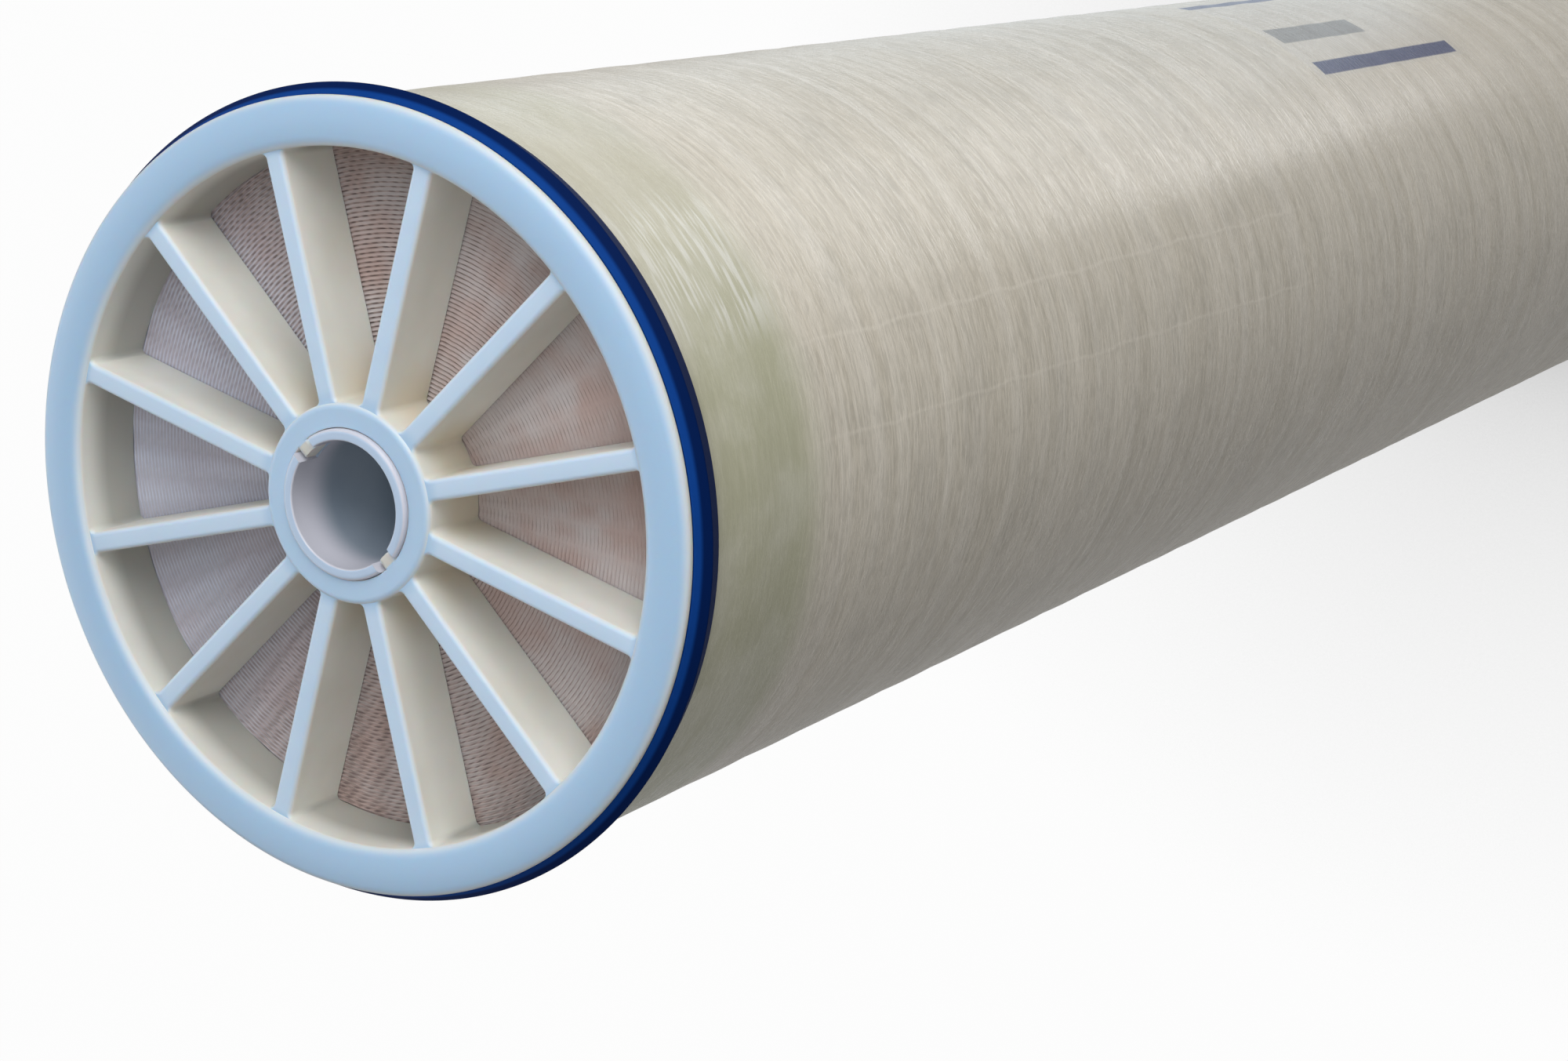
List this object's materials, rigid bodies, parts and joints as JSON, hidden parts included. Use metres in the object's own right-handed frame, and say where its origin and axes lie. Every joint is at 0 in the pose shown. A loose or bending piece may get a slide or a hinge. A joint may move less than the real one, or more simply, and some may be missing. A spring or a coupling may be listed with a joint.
{
  "type": "membrane element",
  "caption": "Spiral-wound reverse osmosis element: a membrane roll on a drilled centre tube in a fibreglass wrap, with spoked end caps and a lip seal at the feed end.",
  "frame": {"origin": "centre of the lower rim face, on the element's axis, where it stands on its brine end", "axes": "+Z along the element's axis from the brine end to the feed end; +X through the two keys of each end cap"},
  "size_m": [0.2062, 0.2062, 1.016],
  "materials": {
    "cap_plastic": "moulded satin",
    "seal_rubber": "smooth",
    "tube_plastic": "turned satin",
    "roll_leaves": "cut sheet edges",
    "wrap_fibreglass": "glossy wound resin"
  },
  "bodies": {
    "root": {"feed_end_cap": "cap_plastic", "brine_end_cap": "cap_plastic", "brine_seal": "seal_rubber", "permeate_tube": "tube_plastic", "membrane_roll": "roll_leaves", "outer_wrap": "wrap_fibreglass"}
  },
  "joints": []
}
